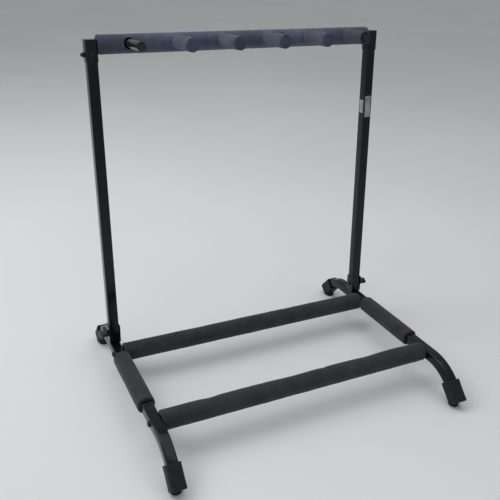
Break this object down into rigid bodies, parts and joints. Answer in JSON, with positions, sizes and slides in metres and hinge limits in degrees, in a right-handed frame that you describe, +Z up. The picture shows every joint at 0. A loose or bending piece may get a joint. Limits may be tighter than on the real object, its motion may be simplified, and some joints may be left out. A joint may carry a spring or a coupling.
{
  "type": "guitar rack",
  "caption": "Folding floor rack for guitars: padded base bars on footed legs, under a hinged neck frame with a padded bar and forward pegs.",
  "frame": {"origin": "on the floor, under the middle of the footprint", "axes": "+X along the bars to the right, -Y to the front where the pegs point, +Z up"},
  "size_m": [0.633, 0.5102, 0.6608],
  "materials": {
    "black_paint": "gloss black paint on steel tube",
    "charcoal_foam": "matte closed-cell foam",
    "black_rubber": "satin moulded rubber",
    "black_plastic": "satin moulded plastic",
    "black_zinc": "black zinc plated",
    "sticker_film": "blank white film"
  },
  "bodies": {
    "base": {"left_leg": "black_paint", "left_front_foot": "black_rubber", "left_rear_foot": "black_rubber", "left_pivot_bracket": "black_paint", "left_pivot_bolt": "black_zinc", "left_pivot_washer": "black_zinc", "left_front_crossbar_bolt": "black_zinc", "left_rear_crossbar_bolt": "black_zinc", "left_leg_sleeve": "charcoal_foam", "right_leg": "black_paint", "right_front_foot": "black_rubber", "right_rear_foot": "black_rubber", "right_pivot_bracket": "black_paint", "right_pivot_bolt": "black_zinc", "right_pivot_washer": "black_zinc", "right_front_crossbar_bolt": "black_zinc", "right_rear_crossbar_bolt": "black_zinc", "right_leg_sleeve": "charcoal_foam", "front_crossbar": "black_paint", "rear_crossbar": "black_paint", "front_crossbar_foam": "charcoal_foam", "rear_crossbar_foam": "charcoal_foam"},
    "neck_frame": {"left_upright": "black_paint", "left_neck_socket": "black_paint", "left_socket_bolt": "black_zinc", "left_socket_nut": "black_zinc", "left_socket_screw": "black_zinc", "right_upright": "black_paint", "right_neck_socket": "black_paint", "right_socket_bolt": "black_zinc", "right_socket_nut": "black_zinc", "right_socket_screw": "black_zinc", "neck_bar": "black_paint", "neck_bar_foam": "charcoal_foam", "peg_1": "black_paint", "peg_2": "black_paint", "peg_3": "black_paint", "peg_4": "black_paint", "peg_5": "black_paint", "peg_6": "black_paint", "peg_plug_1": "black_plastic", "peg_plug_2": "black_plastic", "peg_plug_3": "black_plastic", "peg_plug_4": "black_plastic", "peg_plug_5": "black_plastic", "peg_plug_6": "black_plastic", "peg_foam_2": "charcoal_foam", "peg_foam_3": "charcoal_foam", "peg_foam_4": "charcoal_foam", "peg_foam_5": "charcoal_foam", "peg_foam_6": "charcoal_foam", "front_label": "sticker_film", "inner_label": "sticker_film"},
    "left_knob": {"left_wing_knob": "black_plastic"},
    "right_knob": {"right_wing_knob": "black_plastic"}
  },
  "joints": [
    {"name": "neck_frame_fold", "type": "hinge", "parent": "base", "child": "neck_frame", "pos_m": [0, 0.13759, 0.0839], "axis": [1, 0, 0], "range_deg": [0, 92]},
    {"name": "left_knob_turn", "type": "hinge", "parent": "base", "child": "left_knob", "pos_m": [-0.30102, 0.13759, 0.0839], "axis": [1, 0, 0], "continuous": true},
    {"name": "right_knob_turn", "type": "hinge", "parent": "base", "child": "right_knob", "pos_m": [0.30102, 0.13759, 0.0839], "axis": [1, 0, 0], "continuous": true}
  ]
}
